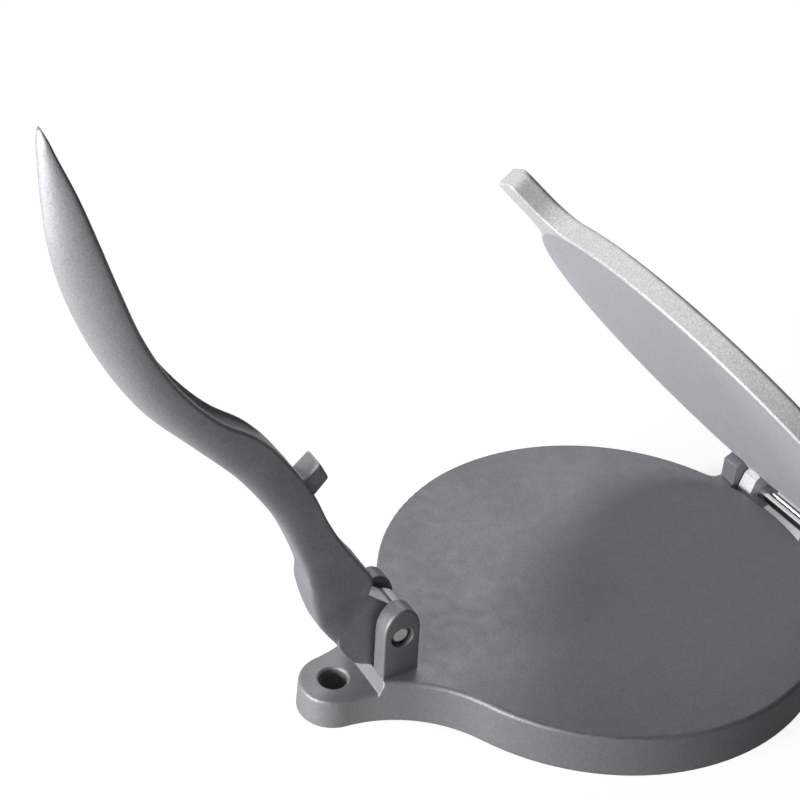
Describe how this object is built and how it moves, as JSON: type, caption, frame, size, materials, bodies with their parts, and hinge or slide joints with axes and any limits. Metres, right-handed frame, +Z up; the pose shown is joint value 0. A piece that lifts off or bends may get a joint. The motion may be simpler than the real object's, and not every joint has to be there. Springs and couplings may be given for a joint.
{
  "type": "tortilla press",
  "caption": "Cast aluminium tortilla press, open: round lower plate, hinged upper plate and a long folding lever.",
  "frame": {"origin": "middle of the hanging hole in the tongue, at table height", "axes": "+X from the lever towards the hinge, +Y along the hinge rod towards the finger tab's side, +Z up"},
  "size_m": [0.3596, 0.2024, 0.2748],
  "materials": {
    "cast": "satin cast surface with a fine grain",
    "steel": "smooth drawn steel"
  },
  "bodies": {
    "base": {"base": "cast", "hinge_rod": "steel", "lever_pin": "steel"},
    "upper_plate": {"upper_plate": "cast"},
    "lever": {"lever": "cast"}
  },
  "joints": [
    {"name": "lid_hinge", "type": "hinge", "parent": "base", "child": "upper_plate", "pos_m": [0.2439, 0, 0.017], "axis": [0, 1, 0], "range_deg": [-50.5, 59.5]},
    {"name": "lever_hinge", "type": "hinge", "parent": "base", "child": "lever", "pos_m": [0.02265, 0, 0.039], "axis": [0, 1, 0], "range_deg": [0, 64]}
  ]
}
